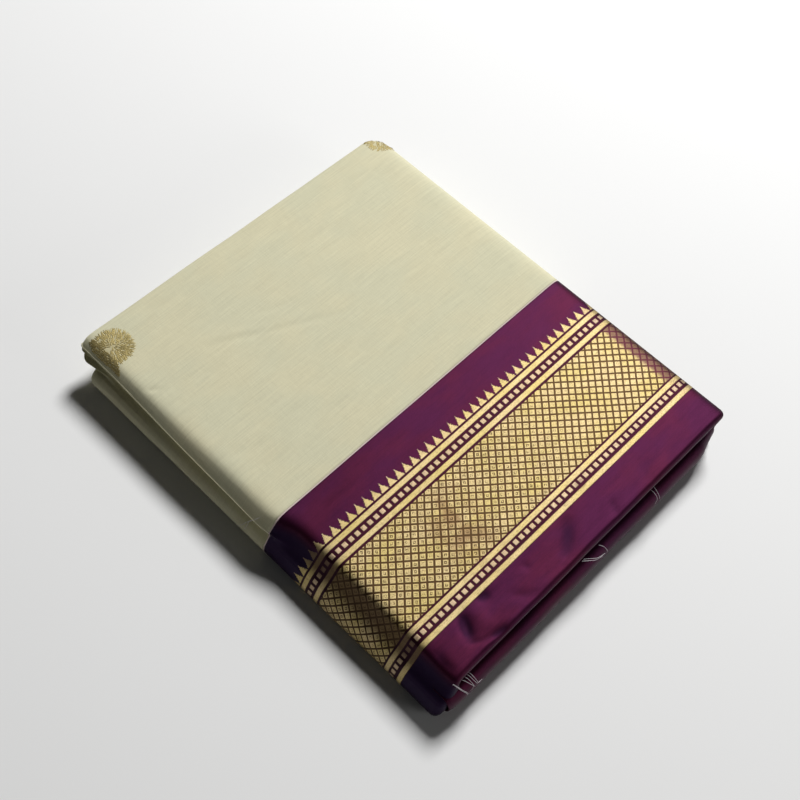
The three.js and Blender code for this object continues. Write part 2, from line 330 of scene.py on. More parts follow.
def wrapRows(side, atEdge):
    # each row: Y, how far the rim turns it in, its place across the cloth,
    # and the strength of the painted highlight on the spine's lip and of the pale line at the cloth's edge
    outward = wrapSides[side]["outward"]
    keys = ("out", "radius", "turn", "tail")
    rim = {key: np.interp(atEdge[:, 2], rims["facing"], rims[side][key]) for key in keys}
    start = edgeLine(side, atEdge, rim) - outward * rim["radius"]
    turn = np.radians(rim["turn"])
    across = start - slab["borderY"]
    # painted shade: the edge line fades out towards the open side, under the fold; the lip's pale line is a
    # painted highlight
    selvedge = 1 - smoothStep(atEdge[:, 0], 205, 228)
    lip = np.exp(-(((np.arange(len(atEdge)) - lipIndex()) / 1.5) ** 2))
    rows = []
    for share in np.linspace(0, 1, wrapSides[side]["rows"]):
        y = slab["seamY"] + (start - slab["seamY"]) * share
        lipHighlightAndEdge = lip * smoothStep(y, slab["seamY"] - 2, slab["seamY"] + 3)
        rows.append((y, np.zeros_like(y), y - slab["borderY"], lipHighlightAndEdge))
    for share in rimSteps:
        angle = turn * share
        y = start + outward * rim["radius"] * np.sin(angle)
        inward = rim["radius"] * (1 - np.cos(angle))
        lipHighlightAndEdge = lip * (1 if side == "body" else 0)
        rows.append((y, inward, across + outward * rim["radius"] * angle, lipHighlightAndEdge))
    for share in tailSteps:
        more = rim["tail"] * share
        y = start + outward * (rim["radius"] * np.sin(turn) + more * np.cos(turn))
        inward = rim["radius"] * (1 - np.cos(turn)) + more * np.sin(turn)
        lipHighlightAndEdge = selvedge * smoothStep(share, 0.5, 1.0) * (0.9 if side == "border" else 0.3)
        rows.append((y, inward, across + outward * (rim["radius"] * turn + more), lipHighlightAndEdge))
    return rows


def paintedShadeMarks(side, facing):
    # painted shade: where the cloth is on the spine's side, which faces away from the key light, and on the
    # bend above it, where the gold is painted dark
    if side == "body":
        past = np.arange(len(facing)) - lipIndex()
        shadeOnSpine = 0.4 * smoothStep(facing, 276, 308) + 0.6 * smoothStep(past, 0, 5)
        shadeOnSpine = shadeOnSpine - 0.5 * smoothStep(past, 42, 60)
    else:
        shadeOnSpine = smoothStep(facing, 290, 318)
    shadeOnSpine = shadeOnSpine * (1 - smoothStep(facing, 400, 430))
    # painted shade: the gold is darkened along the bend from the top down to the spine
    bendShade = smoothStep(facing, 277, 300) * (1 - smoothStep(facing, 318, 342))
    return shadeOnSpine, bendShade


def wrapSurface(side):
    # returns points, cloth coordinates, and the marks that the materials read
    stations = sectionsFor(wrapDetail)
    atEdge = stations[-1] if side == "body" else stations[0]
    facing = atEdge[:, 2]
    spineMask = smoothStep(facing, 275, 300) * (1 - smoothStep(facing, 395, 430))
    topMask = smoothStep(facing, 240, 266) * (1 - smoothStep(facing, 274, 330))
    foldEnd = (len(upperFold) - 1) * wrapDetail["fold"]
    points, uv, lipHighlightAndEdge, creaseShades = [], [], [], []
    for y, inward, across, edgeLineAndLipHighlight in wrapRows(side, atEdge):
        d, z, way = sectionAt(stations, y).T
        way = np.radians(way)
        run = np.concatenate([[0], np.cumsum(np.hypot(np.diff(d), np.diff(z)))])
        along = d[foldEnd] + run[foldEnd] - run
        crease = creaseHeight(along, across)
        lift = topMask * (crease + swell(along, across)) * (1 - smoothStep(inward, 0, 2.5))
        lift = lift + spineMask * 0.4 * softNoises(along / 17, across / 52, 1.7)
        depth = inward - lift
        x = d + depth * np.cos(way) + slab["spineX"]
        points.append(np.column_stack([x, y, z + depth * np.sin(way)]))
        uv.append(np.column_stack([along, across]))
        lipHighlightAndEdge.append(edgeLineAndLipHighlight)
        # painted shade in the creases' hollows, for the purple
        creaseShades.append(topMask * np.clip(-crease, 0, 1))
    shadeOnSpine, bendShade = paintedShadeMarks(side, facing)
    marks = {
        "selvedgeAndLipHighlight": np.array(lipHighlightAndEdge),
        "creaseShade": np.array(creaseShades),
        # painted shade on the spine's side
        "spineShade": np.tile(shadeOnSpine, (len(points), 1)),
        # painted shade on the gold along the spine's bend
        "bendShadeMark": np.tile(bendShade, (len(points), 1)),
    }
    return np.array(points), np.array(uv), marks


def addWrap(side, name, node):
    points, uv, marks = wrapSurface(side)
    points[..., 2] = np.clip(points[..., 2], 0.0, None)
    if side == "body":
        mesh = meshFromGrid(name, points, uv)
    else:
        mesh = meshFromGrid(name, points[::-1], uv[::-1])
        marks = {key: values[::-1] for key, values in marks.items()}
    for key, values in marks.items():
        addFloatAttribute(mesh, key, values)
    thing = addObject(name, mesh)
    thicken(thing, wrapSides[side]["thickness"])
    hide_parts(node)
    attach(thing, "root")
    return thing, points, uv


bodyCloth, bodyPoints, bodyUv = addWrap("body", "bodyCloth", "body_wrap")
borderCloth = addWrap("border", "borderCloth", "border_wrap")[0]
print("outer cloth", len(bodyCloth.data.polygons), len(borderCloth.data.polygons))

# ---- the roll of border under the top edge ----

lowRoll = {
    "from": 4.8, "to": 236.0, "z": 12.2, "halfHeight": 8.8, "back": 2.2, "reach": 7.9,
    "tail": 6.0, "thickness": 0.55, "steps": 30, "columns": 150,
}
# how far the roll stands out along its length
lowRollReach = [
    (0, 0.8), (0.012, 0.9), (0.035, 0.96), (0.12, 0.99), (0.35, 1), (0.6, 0.97), (0.85, 1),
    (0.91, 0.97), (0.935, 0.86), (0.95, 0.68), (0.97, 0.52), (1, 0.3),
]


def addLowRoll(sizes):
    at = np.linspace(0, 1, sizes["columns"])
    at = np.unique(np.concatenate([at, 1 - np.linspace(0, 0.03, 14) ** 1.3, np.linspace(0, 0.02, 6)]))
    share = np.interp(at, *np.array(lowRollReach).T)
    angles = np.linspace(-math.pi / 2, math.pi / 2, sizes["steps"])
    back = slab["borderY"] + sizes["back"]
    tail = np.linspace(sizes["tail"], 0, 5)[:-1]
    grid, uv = [], []
    for a, s in zip(at, share):
        d = sizes["from"] + (sizes["to"] - sizes["from"]) * a
        half = sizes["halfHeight"] * (0.55 + 0.45 * s)
        wave = 0.35 * softNoises(d / 26, angles * 0.9, 6.2) + 0.14 * softNoises(d / 9, angles * 1.6, 2.2)
        y = back - sizes["reach"] * s * np.cos(angles) - wave * np.cos(angles)
        y = np.concatenate([back + tail, y, back + tail[::-1]])
        low, high = sizes["z"] - half, sizes["z"] + half
        z = np.concatenate([np.full(4, low), sizes["z"] + half * np.sin(angles), np.full(4, high)])
        run = np.concatenate([[0], np.cumsum(np.hypot(np.diff(y), np.diff(z)))])
        grid.append(np.column_stack([np.full(len(y), d + slab["spineX"]), y, z]))
        uv.append(np.column_stack([np.full(len(y), d), 21.5 - 0.45 * run]))
    grid, uv = np.array(grid), np.array(uv)
    mesh = meshFromGrid("borderRoll", grid, uv)
    addFloatAttribute(mesh, "selvedgeAndLipHighlight", np.zeros(len(mesh.vertices)))
    thing = addObject("borderRoll", mesh)
    thicken(thing, sizes["thickness"])
    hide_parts("border_low_fold")
    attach(thing, "root")
    return thing


borderRoll = addLowRoll(lowRoll)
print("border roll", len(borderRoll.data.polygons))

# ---- the hidden layers: one rounded solid, layered at its edges ----

layers = {
    "low": 0.7, "high": 29.9, "perLip": 5,
    "folds": 24,  # narrow folds at the long edges
    "grooveLong": 0.95, "grooveOpen": 1.6,
    "inLong": 1.0, "inOpen": 1.6,
    "corner": 3.0, "spineCorner": 4.0,
    "openSplits": (10.0, 12.8, 15.2, 18.6, 22.2),  # heights between the rolls at the open side
    "insideFolds": 7.5,  # how far in the layers end inside the two outer folds
    "spineGap": 1.0,
}
layersDetail = {"fold": 2, "top": 10, "spine": 3, "under": 6}


def spineFace(y, z, stations):
    # how far in from the spine the outer cloth stands at this height
    d, height, _ = sectionAt(stations, np.full(len(stations[0]), y)).T
    first = (len(upperFold) - 1) * layersDetail["fold"] + 1 + layersDetail["top"]
    part = slice(first, first + (len(spineAtSeam) - 1) * layersDetail["spine"] + 1)
    near = np.abs(height[part] - z) < 1.4
    return d[part][near].max() if near.any() else 16.0


def sideLine(x, y, way):
    x, y = np.broadcast_arrays(x, y)
    return np.column_stack([x, y, np.full(x.size, way[0]), np.full(x.size, way[1])])


def roundCorner(x, y, radius, fromDegrees, steps=5):
    angles = np.radians(np.linspace(fromDegrees, fromDegrees + 90, steps + 1)[1:])
    ways = np.column_stack([np.cos(angles), np.sin(angles)])
    return np.hstack([(x, y) + radius * ways, ways])


def layerOutline(z, sizes, stations):
    # once round the layers at one height: X, Y and the way outward
    x1 = slab["openX"] - sizes["inOpen"]
    y0 = slab["borderY"] + sizes["inLong"]
    wide, corner, small = slab["bodyCorner"], sizes["corner"], sizes["spineCorner"]
    high = bodyEdge(slab["openX"] - wide, z) - sizes["inLong"]
    highSpine = bodyEdge(slab["spineX"] + 8, z) - sizes["inLong"]
    borderPart = np.linspace(y0 + corner, slab["seamY"], 66)
    bodyPart = np.linspace(slab["seamY"], high - wide, 68)[1:]
    backX = np.linspace(x1 - wide, slab["spineX"] + 12, 100)[1:]
    inner = slab["spineX"] + spineFace(highSpine, z, stations) + sizes["spineGap"]
    spineY = np.linspace(highSpine - small, y0 + corner, 44)[1:]
    faces = np.array([spineFace(y, z, stations) for y in spineY])
    spineX = slab["spineX"] + faces + sizes["spineGap"]
    x0 = spineX[-1]
    frontX = np.linspace(x0 + corner, x1 - corner, 110)[1:]
    return np.vstack([
        sideLine(x1, np.concatenate([borderPart, bodyPart]), (1, 0)),
        roundCorner(x1 - wide, high - wide, wide, 0, 11),
        sideLine(backX, bodyEdge(backX, z) - sizes["inLong"], (0, 1)),
        roundCorner(inner + small, highSpine - small, small, 90),
        sideLine(spineX, spineY, (-1, 0)),
        roundCorner(x0 + corner, y0 + corner, corner, 180),
        sideLine(frontX, y0, (0, -1)),
        roundCorner(x1 - corner, y0 + corner, corner, 270)[:-1],
    ]).T


def foldGroove(share, depth):
    # 0 in the middle of a fold's edge, and depth where two folds meet
    return depth * (1 - np.sqrt(np.clip(1 - (2 * share - 1) ** 2, 0, 1)))


def addLayers(sizes):
    stations = sectionsFor(layersDetail)
    generator = np.random.default_rng(11)
    foldOut = generator.uniform(-0.7, 0.5, sizes["folds"] + 2)
    openOut = generator.uniform(-0.6, 0.4, len(sizes["openSplits"]) + 1)
    bounds = np.array([0.0, *sizes["openSplits"], slab["height"]])
    grid, uv = [], []
    for z in np.linspace(sizes["low"], sizes["high"], sizes["folds"] * sizes["perLip"] + 1):
        x, y, nx, ny = layerOutline(z, sizes, stations)
        wander = 0.5 * softNoises(x / 46, y / 46, 2.5)

        # narrow folds at the long sides
        place = (z - sizes["low"] + wander) / (sizes["high"] - sizes["low"]) * sizes["folds"]
        number = np.clip(np.floor(place), 0, sizes["folds"]).astype(int)
        inLong = foldGroove(place - np.floor(place), sizes["grooveLong"]) - foldOut[number]
        inLong = inLong - 0.45 * softNoises(x / 38, y / 38, number * 3.7)

        # wider rolls at the open side, further in where the two outer folds are
        lifted = z + 0.8 * wander
        roll = np.clip(np.searchsorted(bounds, lifted) - 1, 0, len(bounds) - 2)
        part = (lifted - bounds[roll]) / (bounds[roll + 1] - bounds[roll])
        inOpen = foldGroove(part, sizes["grooveOpen"]) - openOut[roll]
        inOpen = inOpen - 0.6 * softNoises(y / 60, roll * 5.1, 4.0) + 0.6
        inside = smoothStep(z, 21.6, 22.6) + 1 - smoothStep(z, 9.2, 10.2)
        inOpen = inOpen + sizes["insideFolds"] * inside

        deep = np.where(nx > 0, nx**2, 0) * inOpen + ny**2 * np.clip(inLong, -0.2, None)
        x = x - nx * deep
        y = y - ny * deep
        grid.append(np.column_stack([x, y, np.full(len(x), z)]))
        across = 1.1 * z + 7.3 * number
        uv.append(np.column_stack([x - slab["spineX"] + nx**2 * across, y - slab["borderY"]]))
    grid, uv = np.array(grid), np.array(uv)
    return meshFromGrid("foldedLayers", grid[::-1], uv[::-1], closed=True), grid


layersMesh, layersGrid = addLayers(layers)


def closeEnds(mesh, columns):
    # flat ends over and under the layers, out of sight
    work = bmesh.new()
    work.from_mesh(mesh)
    everyVert = list(work.verts)
    for verts, up in ((everyVert[:columns], True), (everyVert[-columns:], False)):
        middle = work.verts.new(sum((v.co for v in verts), Vector()) / len(verts))
        for a, b in zip(verts, verts[1:] + verts[:1]):
            work.faces.new((a, b, middle) if up else (b, a, middle))
    bmesh.ops.recalc_face_normals(work, faces=work.faces)
    for face in work.faces:
        face.smooth = True
        face.material_index = 0 if face.calc_center_median().y > slab["seamY"] * mm else 1
    work.to_mesh(mesh)
    work.free()


closeEnds(layersMesh, layersGrid.shape[1])
addFloatAttribute(layersMesh, "selvedgeAndLipHighlight", np.zeros(len(layersMesh.vertices)))
foldedLayers = addObject("foldedLayers", layersMesh)
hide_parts("hidden_layers")
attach(foldedLayers, "root")
print("layers", len(layersMesh.polygons))

# ---- materials ----


def feed(socket, value):
    if isinstance(value, bpy.types.NodeSocket):
        socket.id_data.links.new(value, socket)
    elif isinstance(value, (tuple, list)) and len(value) == 3 and socket.type == "RGBA":
        socket.default_value = (*value, 1)
    else:
        socket.default_value = value


def nodeBeside(kind, *values):
    # a new node in the tree that the values' sockets are in
    tree = next(value.id_data for value in values if isinstance(value, bpy.types.NodeSocket))
    return tree.nodes.new(kind)


def calc(operation, *values, clamp=False):
    node = nodeBeside("ShaderNodeMath", *values)
    node.operation = operation
    node.use_clamp = clamp
    for socket, value in zip(node.inputs, values):
        feed(socket, value)
    return node.outputs[0]


plus = partial(calc, "ADD")
minus = partial(calc, "SUBTRACT")
times = partial(calc, "MULTIPLY")
over = partial(calc, "DIVIDE")


def largest(values):
    return reduce(partial(calc, "MAXIMUM"), values)


def stepUp(value, low, high, toLow=0.0, toHigh=1.0, kind="SMOOTHSTEP"):
    node = nodeBeside("ShaderNodeMapRange", value)
    node.interpolation_type = kind
    names = ("Value", "From Min", "From Max", "To Min", "To Max")
    for name, number in zip(names, (value, low, high, toLow, toHigh)):
        feed(node.inputs[name], number)
    return node.outputs[0]


def mixColour(factor, first, second, kind="MIX"):
    node = nodeBeside("ShaderNodeMix", factor, first, second)
    node.data_type = "RGBA"
    node.blend_type = kind
    for number, value in ((0, factor), (6, first), (7, second)):
        feed(node.inputs[number], value)
    return node.outputs[2]


def clothCoordinates(tree):
    # cloth coordinates in millimetres: along the cloth, and across it from the border's edge
    uvNode = tree.nodes.new("ShaderNodeUVMap")
    uvNode.uv_map = "cloth"
    scale = tree.nodes.new("ShaderNodeVectorMath")
    scale.operation = "SCALE"
    tree.links.new(uvNode.outputs[0], scale.inputs[0])
    scale.inputs["Scale"].default_value = 1000
    split = tree.nodes.new("ShaderNodeSeparateXYZ")
    tree.links.new(scale.outputs[0], split.inputs[0])
    return split.outputs[0], split.outputs[1]


def grain(u, v, alongSize, acrossSize, detail=2.0, seed=0.0, roughness=0.5):
    # noise whose grains are alongSize by acrossSize millimetres
    join = nodeBeside("ShaderNodeCombineXYZ", u)
    for socket, value in zip(join.inputs, (over(u, alongSize), over(v, acrossSize), seed)):
        feed(socket, value)
    node = nodeBeside("ShaderNodeTexNoise", u)
    settings = {"Vector": join.outputs[0], "Scale": 1.0, "Detail": detail, "Roughness": roughness}
    for name, value in settings.items():
        feed(node.inputs[name], value)
    return node.outputs[0]


def band(v, centre, width, soft=0.25):
    away = calc("ABSOLUTE", minus(v, centre))
    return stepUp(away, width / 2 + soft, width / 2 - soft)


def bumpNode(height, distance):
    node = nodeBeside("ShaderNodeBump", height)
    for name, value in {"Height": height, "Distance": distance * mm, "Strength": 1.0}.items():
        feed(node.inputs[name], value)
    return node.outputs[0]


def attributeValue(tree, name):
    node = tree.nodes.new("ShaderNodeAttribute")
    node.attribute_name = name
    return node.outputs["Fac"]


def newMaterial(name):
    material = bpy.data.materials.new(name)
    material.use_nodes = True
    tree = material.node_tree
    return material, tree, tree.nodes["Principled BSDF"]


def weaveHeight(u, v, pitch):
    # threads over and under each other, a little uneven
    wobble = grain(u, v, 9.0, 7.0, 1.0, 4.0)
    uu = plus(times(u, math.pi / pitch), times(wobble, 9.0))
    vv = plus(times(v, math.pi / pitch), times(wobble, -7.0))
    return times(calc("SINE", uu), calc("SINE", vv))


creamLook = {
    "cloth": (0.60, 0.572, 0.395),
    "cool": (0.575, 0.562, 0.40),
    "warm": (0.62, 0.577, 0.392),
    # the pale colour of the painted highlight along the spine's lip, and of the body's edge line
    "lipHighlightAndEdge": (0.80, 0.78, 0.62),
    "spineShadeColour": (0.62, 0.61, 0.50),  # times the cloth's colour: painted shade on the spine's side, under its fold and on the bend above
    "underMotif": (0.40, 0.33, 0.15),
    "pitch": 0.42,  # mm between threads
    "roughness": 0.82,
}


def creamCotton(look):
    material, tree, shader = newMaterial("creamCotton")
    u, v = clothCoordinates(tree)
    patches = grain(u, v, 34.0, 30.0, 3.0, 1.0)
    colour = mixColour(stepUp(patches, 0.35, 0.65), look["cool"], look["warm"])
    colour = mixColour(0.5, colour, look["cloth"])
    slubsAlong = grain(u, v, 24.0, 0.8, 3.0, 2.0, 0.6)
    slubsAcross = grain(u, v, 0.8, 9.0, 3.0, 3.0, 0.6)
    slubs = plus(slubsAlong, times(slubsAcross, 0.45))
    shade = stepUp(slubs, 0.42, 1.02, 0.88, 1.08, "LINEAR")
    fine = weaveHeight(u, v, look["pitch"])
    shade = plus(shade, times(fine, 0.05))
    colour = mixColour(1.0, colour, shade, "MULTIPLY")
    colour = mixColour(times(attributeValue(tree, "motifTint"), 0.5), colour, look["underMotif"])
    # painted shade on the spine's side, under the upper fold and on the bend above it
    spineShadeColour = mixColour(1.0, colour, look["spineShadeColour"], "MULTIPLY")
    colour = mixColour(attributeValue(tree, "spineShade"), colour, spineShadeColour)
    # painted highlight along the spine's lip, and the pale line at the cloth's edge
    edge = attributeValue(tree, "selvedgeAndLipHighlight")
    colour = mixColour(times(edge, 0.5), colour, look["lipHighlightAndEdge"])
    feed(shader.inputs["Base Color"], colour)
    shader.inputs["Roughness"].default_value = look["roughness"]
    shader.inputs["Specular IOR Level"].default_value = 0.25
    shader.inputs["Sheen Weight"].default_value = 0.12
    shader.inputs["Sheen Roughness"].default_value = 0.5
    ripples = grain(u, v, 42.0, 4.5, 2.0, 6.0)
    height = plus(times(fine, 0.035), times(slubs, 0.07))
    height = plus(height, times(ripples, 0.3))
    feed(shader.inputs["Normal"], bumpNode(height, 1.0))
    return material


# bands of the border, in millimetres from its edge
zariLook = {
    "cloth": (0.038, 0.0058, 0.0235),
    "clothDark": (0.024, 0.0038, 0.016),
    "clothRed": (0.046, 0.0062, 0.0205),
    # the dark navy of the painted shade on the spine's side
    "clothNavyShade": (0.010, 0.0045, 0.023),
    # painted shade in the creases
    "clothCreaseShade": (0.009, 0.0024, 0.011),
    "ground": (0.024, 0.0044, 0.009),
    "gold": (0.54, 0.43, 0.172),
    "goldPale": (0.58, 0.455, 0.238),
    "goldDark": (0.25, 0.165, 0.06),
    # the dark gold of the painted shade along the spine's bend
    "goldBendShade": (0.12, 0.065, 0.035),
    "rose": (0.50, 0.37, 0.27),
    "rubbed": {"middle": (76, 58), "reach": (20, 34), "colour": (0.24, 0.135, 0.065)},
    "lines": (0.052, 0.028, 0.012),
    # cloth colour of the painted shade past the open side's bend
    "endClothShade": (0.050, 0.013, 0.019),
    "seam": (0.66, 0.52, 0.50),
    "selvedge": (0.30, 0.26, 0.31),
    "goldBands": [(25.85, 2.9), (34.8, 2.75), (88.75, 2.9), (98.15, 2.85)],
    "ladders": [{"centre": 30.75, "pitch": 4.49, "shift": 0.6, "square": 2.75},
                {"centre": 93.5, "pitch": 4.75, "shift": 1.9, "square": 2.8}],
    "field": (37.4, 85.7),
    "latticeA": (0.1538, 0.1807), "latticeB": (0.1758, -0.1709),  # lines for each mm along and across
    "temples": {"base": 101.0, "pitch": 6.13, "shift": 1.6, "half": 2.65, "height": 4.7, "tip": 6.1},
    "thread": 0.36,
    "seamAt": 129.75,
    "openEnd": (228.0, 233.0),  # where the field's gold gives way to painted shade, past the open side's bend
    "stain": {"middle": (143.5, 29.5), "reach": (4.2, 3.6)},
}


def ovalAway(u, v, oval):
    # 0 at the middle of an oval, 1 on its outline
    parts = []
    for place, centre, size in zip((u, v), oval["middle"], oval["reach"]):
        share = over(minus(place, centre), size)
        parts.append(times(share, share))
    return calc("SQRT", plus(*parts))


def repeatAway(u, sizes):
    # how far u is from the middle of the nearest repeat
    place = over(plus(u, sizes["shift"]), sizes["pitch"])
    return times(minus(0.5, calc("PINGPONG", place, 0.5)), sizes["pitch"])


def latticeMask(u, v, look):
    lines, insides = [], []
    for along, across in (look["latticeA"], look["latticeB"]):
        wobble = times(grain(u, v, 26.0, 22.0, 1.0, 12.0 + along), 0.16)
        place = plus(times(u, along), times(v, across))
        fold = calc("PINGPONG", plus(place, wobble), 0.5)
        thick = stepUp(grain(u, v, 13.0, 9.0, 2.0, 14.0 + across), 0.3, 0.7, 0.15, 0.22)
        lines.append(stepUp(fold, thick, 0.085))
        insides.append(minus(0.5, fold))
    inside = largest(insides)
    ring = times(stepUp(inside, 0.055, 0.10), stepUp(inside, 0.225, 0.17))
    return largest(lines), ring


def templeMask(u, v, look):
    sizes = look["temples"]
    away = repeatAway(u, sizes)
    body = stepUp(calc("SNAP", away, 0.36), 0.35, sizes["half"], sizes["height"], 0.3, "LINEAR")
    body = times(body, calc("LESS_THAN", away, sizes["half"]))
    tip = stepUp(away, 0.55, 0.3, 0.0, sizes["tip"])
    uneven = stepUp(grain(u, v, 0.8, 0.5, 1.0, 17.0), 0.3, 0.7, -0.9, 0.5)
    top = plus(largest([body, tip]), uneven)
    rise = minus(v, sizes["base"])
    mask = times(stepUp(minus(top, rise), 0.0, 0.45), stepUp(rise, -0.25, 0.15))
    return mask, stepUp(rise, 4.2, 5.6)


def ladderMask(u, v, sizes):
    half = sizes["square"] / 2
    sides = (repeatAway(u, sizes), calc("ABSOLUTE", minus(v, sizes["centre"])))
    return times(*[stepUp(away, half + 0.2, half - 0.25) for away in sides])


def purpleGround(tree, u, v, look):
    patches = grain(u, v, 40.0, 18.0, 3.0, 21.0)
    cloth = mixColour(stepUp(patches, 0.38, 0.66), look["cloth"], look["clothRed"])
    slubs = grain(u, v, 14.0, 0.6, 2.0, 22.0)
    cloth = mixColour(stepUp(slubs, 0.4, 0.75, 0.0, 0.35), cloth, look["clothDark"])
    # painted shade: the purple turns dark navy on the spine's side
    cloth = mixColour(times(attributeValue(tree, "spineShade"), 0.9), cloth, look["clothNavyShade"])
    # painted shade: the purple is darker in the creases' hollows
    creaseShadeAmount = stepUp(attributeValue(tree, "creaseShade"), 0.12, 0.85, 0.0, 0.72)
    return mixColour(creaseShadeAmount, cloth, look["clothCreaseShade"])


def wearAndPaintedShade(metal, u, v, field, ring, bendShade, look):
    # worn and stained places, where the gold gives way to purple; along the spine's bend and past the open
    # side's bend the gold is also taken off as painted shade
    wear = grain(u, v, 5.0, 3.0, 4.0, 30.0, 0.65)
    metal = times(metal, stepUp(wear, 0.25, 0.5, 0.72, 1.0))
    metal = times(metal, stepUp(ovalAway(u, v, look["stain"]), 0.5, 1.3, 0.45, 1.0))
    # painted shade: the field's gold is taken off past the open side's bend
    endShade = times(stepUp(u, *look["openEnd"]), stepUp(field, 0.0, 1.0, 0.35, 0.88))
    metal = times(metal, minus(1.0, endShade))
    # painted shade: less gold along the spine's bend
    metal = times(metal, stepUp(bendShade, 0.0, 1.0, 1.0, 0.55))
    # small marks inside the lattice's cells
    dots = times(stepUp(grain(u, v, 2.6, 2.4, 2.0, 31.0), 0.38, 0.62, 0.1, 0.9), field)
    dots = times(times(ring, dots), stepUp(u, 120.0, 200.0, 1.0, 0.3))
    return times(metal, minus(1.0, dots))


def goldTones(u, v, squares, tips, bendShade, look):
    tone = grain(u, v, 22.0, 12.0, 3.0, 33.0)
    colour = mixColour(stepUp(tone, 0.35, 0.7), look["goldPale"], look["gold"])
    colour = mixColour(times(squares, 0.75), colour, look["rose"])
    colour = mixColour(tips, colour, look["rose"])
    fleck = grain(u, v, 1.6, 0.5, 2.0, 35.0)
    colour = mixColour(stepUp(fleck, 0.45, 0.75, 0.0, 0.6), colour, look["goldDark"])
    rub = stepUp(ovalAway(u, v, look["rubbed"]), 1.1, 0.2, 0.0, 0.7)
    rub = times(rub, stepUp(grain(u, v, 9.0, 14.0, 2.0, 37.0), 0.38, 0.6))
    colour = mixColour(rub, colour, look["rubbed"]["colour"])
    # painted shade on the gold along the spine's bend
    return mixColour(times(bendShade, 0.75), colour, look["goldBendShade"])


def purpleZari(look):
    material, tree, shader = newMaterial("purpleZari")
    u, v = clothCoordinates(tree)
    # painted shade along the spine's bend
    bendShade = attributeValue(tree, "bendShadeMark")

    # where each part of the pattern is
    gold = largest(band(v, centre, width) for centre, width in look["goldBands"])
    squares = largest(ladderMask(u, v, sizes) for sizes in look["ladders"])
    low, high = look["field"]
    field = band(v, (low + high) / 2, high - low, 0.2)
    lines, ring = latticeMask(u, v, look)
    temples, tall = templeMask(u, v, look)
    worked = times(stepUp(v, 23.7, 24.3), stepUp(v, 101.2, 100.4))
    metal = largest([gold, squares, times(field, minus(1.0, lines)), temples])
    metal = wearAndPaintedShade(metal, u, v, field, ring, bendShade, look)

    # the cloth between the gold is darker and redder
    ground = mixColour(times(worked, 0.85), purpleGround(tree, u, v, look), look["ground"])
    ground = mixColour(field, ground, look["lines"])
    # painted shade of the field past the open side's bend
    ground = mixColour(times(field, stepUp(u, *look["openEnd"])), ground, look["endClothShade"])
    colour = mixColour(metal, ground, goldTones(u, v, squares, times(tall, temples), bendShade, look))
    seam = stepUp(v, look["seamAt"] - 0.55, look["seamAt"] - 0.3)
    colour = mixColour(seam, colour, look["seam"])
    # the pale selvedge line at the border's edge, faded out towards the open side as painted shade
    edge = attributeValue(tree, "selvedgeAndLipHighlight")
    feed(shader.inputs["Base Color"], mixColour(times(edge, 0.8), colour, look["selvedge"]))
    matt = minus(1.0, largest([seam, edge]), clamp=True)
    feed(shader.inputs["Metallic"], times(matt, 0.84))
    feed(shader.inputs["Roughness"], stepUp(metal, 0.0, 1.0, 0.5, 0.54, "LINEAR"))
    shader.inputs["Specular IOR Level"].default_value = 0.1

    threads = calc("SINE", times(v, 2 * math.pi / look["thread"]))
    height = plus(times(weaveHeight(u, v, 0.34), 0.022), times(metal, 0.09))
    height = plus(height, times(times(threads, metal), 0.02))
    height = plus(height, times(grain(u, v, 30.0, 5.0, 2.0, 40.0), 0.2))
    feed(shader.inputs["Normal"], bumpNode(height, 1.0))
    return material


cream = creamCotton(creamLook)
zari = purpleZari(zariLook)
finishes = ((bodyCloth, cream), (borderCloth, zari), (borderRoll, zari),
            (foldedLayers, cream), (foldedLayers, zari))
for thing, finish in finishes:
    thing.data.materials.append(finish)


# gold thread of the motifs, and the loose white threads
def threadMaterial(name, colour, metallic, roughness, pitch):
    material, tree, shader = newMaterial(name)
    place = tree.nodes.new("ShaderNodeTexCoord").outputs["Object"]
    turns = tree.nodes.new("ShaderNodeTexWave")
    turns.bands_direction = "DIAGONAL"
    turns.inputs["Scale"].default_value = 0.314 / (pitch * mm)
    turns.inputs["Distortion"].default_value = 1.5
    tree.links.new(place, turns.inputs["Vector"])
    spots = tree.nodes.new("ShaderNodeTexNoise")
    spots.inputs["Scale"].default_value = 900
    tree.links.new(place, spots.inputs["Vector"])
    dark = tuple(0.55 * part for part in colour)
    shade = mixColour(stepUp(spots.outputs[0], 0.35, 0.6), dark, colour)
    feed(shader.inputs["Base Color"], mixColour(times(turns.outputs[1], 0.4), dark, shade))
    shader.inputs["Metallic"].default_value = metallic
    shader.inputs["Roughness"].default_value = roughness
    feed(shader.inputs["Normal"], bumpNode(turns.outputs[1], 0.05))
    return material


goldThread = threadMaterial("goldThread", (0.58, 0.465, 0.185), 0.6, 0.5, 0.5)
whiteThread = threadMaterial("whiteThread", (0.72, 0.68, 0.70), 0.0, 0.7, 0.35)
print("materials made")

# ---- geometry nodes ----


def addNode(tree, kind, inputs=None, **settings):
    node = tree.nodes.new(kind)
    for name, value in settings.items():
        setattr(node, name, value)
    for name, value in (inputs or {}).items():
        feed(node.inputs[name], value)
    return node


def newNodeTree(name, sizes):
    tree = bpy.data.node_groups.new(name, "GeometryNodeTree")
    tree.interface.new_socket("Geometry", in_out="INPUT", socket_type="NodeSocketGeometry")
    for label, value in sizes.items():
        socket = tree.interface.new_socket(label, in_out="INPUT", socket_type="NodeSocketFloat")
        socket.default_value = value
    tree.interface.new_socket("Geometry", in_out="OUTPUT", socket_type="NodeSocketGeometry")
    return tree, tree.nodes.new("NodeGroupInput"), tree.nodes.new("NodeGroupOutput")


